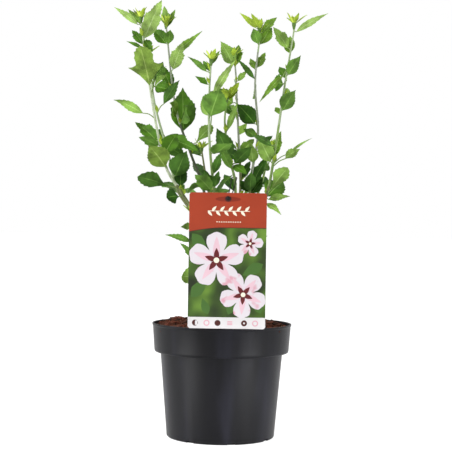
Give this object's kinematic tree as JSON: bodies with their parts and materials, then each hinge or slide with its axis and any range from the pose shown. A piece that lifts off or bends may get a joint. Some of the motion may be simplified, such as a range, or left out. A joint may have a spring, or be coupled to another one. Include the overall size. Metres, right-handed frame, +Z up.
{
  "type": "potted hibiscus shrub",
  "caption": "Young hibiscus shrub with upright leafy shoots on a short woody trunk, in a round black nursery pot of soil, with a picture card tied to a stem.",
  "frame": {"origin": "centre of the pot's flat underside", "axes": "+Z up along the pot's axis, -Y towards the picture card, +X to the right as the card is read"},
  "size_m": [0.283, 0.203, 0.595],
  "materials": {
    "pot_plastic": "satin black moulded plastic",
    "soil": "loose brown bark and coir",
    "bark": "grey-brown young bark",
    "foliage": "soft green leaf",
    "card": "printed satin plastic card",
    "tie": "black moulded plastic"
  },
  "bodies": {
    "root": {"pot": "pot_plastic", "soil": "soil", "trunk": "bark", "bough_left_front": "bark", "bough_left": "bark", "bough_left_rear": "bark", "bough_front": "bark", "bough_middle": "bark", "bough_rear": "bark", "bough_right_front": "bark", "bough_right": "bark", "bough_right_rear": "bark", "bough_rear_low": "bark", "leaves_left_front": "foliage", "leaves_left": "foliage", "leaves_left_rear": "foliage", "leaves_front": "foliage", "leaves_middle": "foliage", "leaves_rear": "foliage", "leaves_right_front": "foliage", "leaves_right": "foliage", "leaves_right_rear": "foliage", "leaves_rear_low": "foliage", "leaves_low_left": "foliage", "leaves_low_right": "foliage", "leaves_low_rear": "foliage", "leaves_low_right_rear": "foliage", "picture_card": "card", "card_tie": "tie"}
  },
  "joints": []
}
